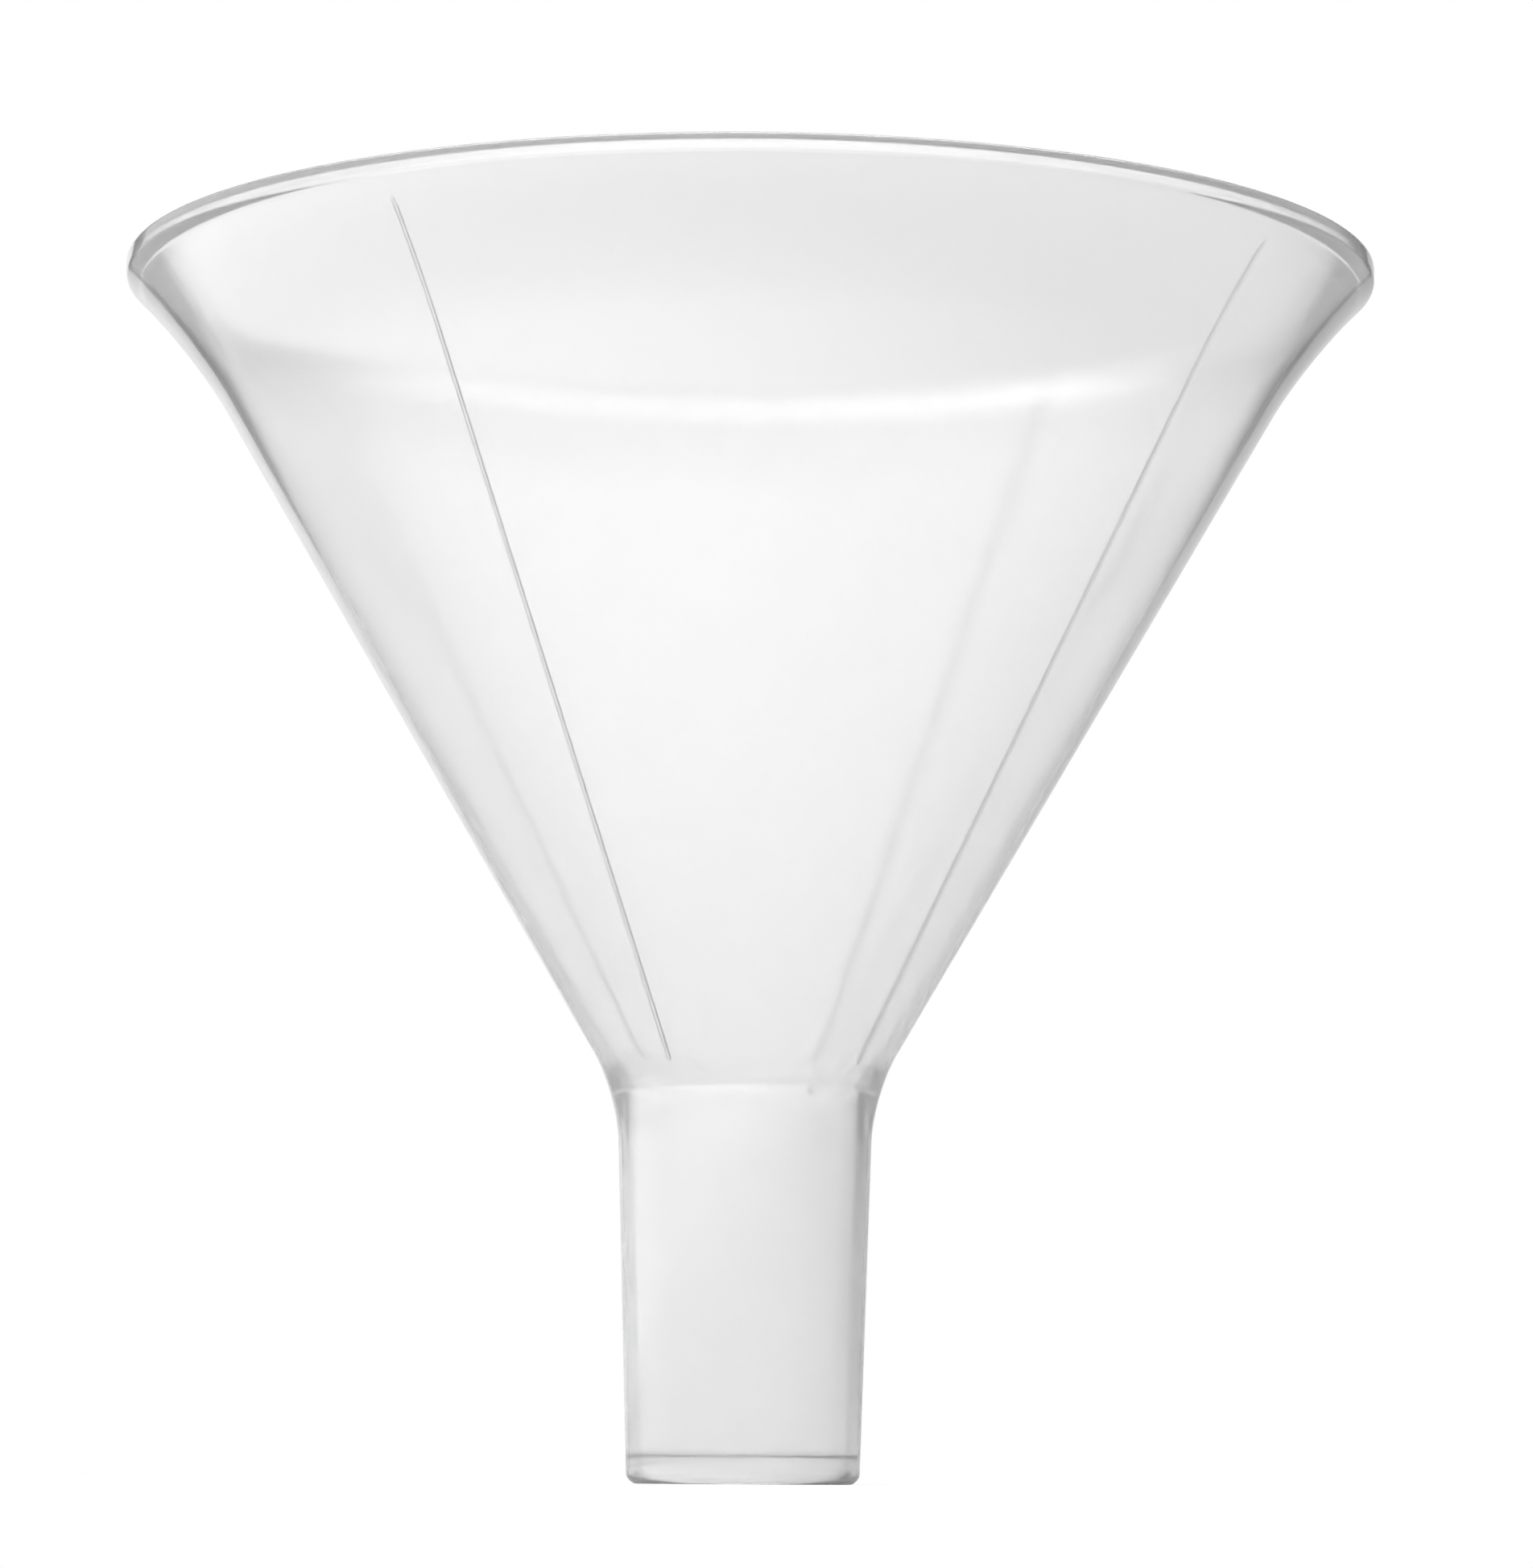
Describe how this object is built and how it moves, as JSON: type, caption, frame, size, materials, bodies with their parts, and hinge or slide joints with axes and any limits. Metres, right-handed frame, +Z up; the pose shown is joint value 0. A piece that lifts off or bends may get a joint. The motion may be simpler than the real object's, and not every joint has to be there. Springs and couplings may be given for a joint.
{
  "type": "wide-stem kitchen funnel",
  "caption": "Translucent moulded kitchen funnel: flared round mouth, straight cone, short wide drafted stem and thin vent ribs inside the cone.",
  "frame": {"origin": "centre of the stem's end face, where the funnel stands on a surface", "axes": "+Z up along the funnel's axis towards the mouth; two opposite vent ribs on +X and -X, the other two on +Y and -Y"},
  "size_m": [0.15, 0.15, 0.145],
  "materials": {
    "rim_plastic": "natural translucent polypropylene, polished lip",
    "wall_plastic": "natural translucent polypropylene, smooth with a soft haze",
    "stem_plastic": "natural translucent polypropylene, slightly milkier",
    "rib_plastic": "natural translucent polypropylene, thin raised ribs"
  },
  "bodies": {
    "root": {"rim": "rim_plastic", "cone_wall": "wall_plastic", "neck": "wall_plastic", "stem": "stem_plastic", "stem_end_ring": "stem_plastic", "vent_rib_1": "rib_plastic", "vent_rib_2": "rib_plastic", "vent_rib_3": "rib_plastic", "vent_rib_4": "rib_plastic"}
  },
  "joints": []
}
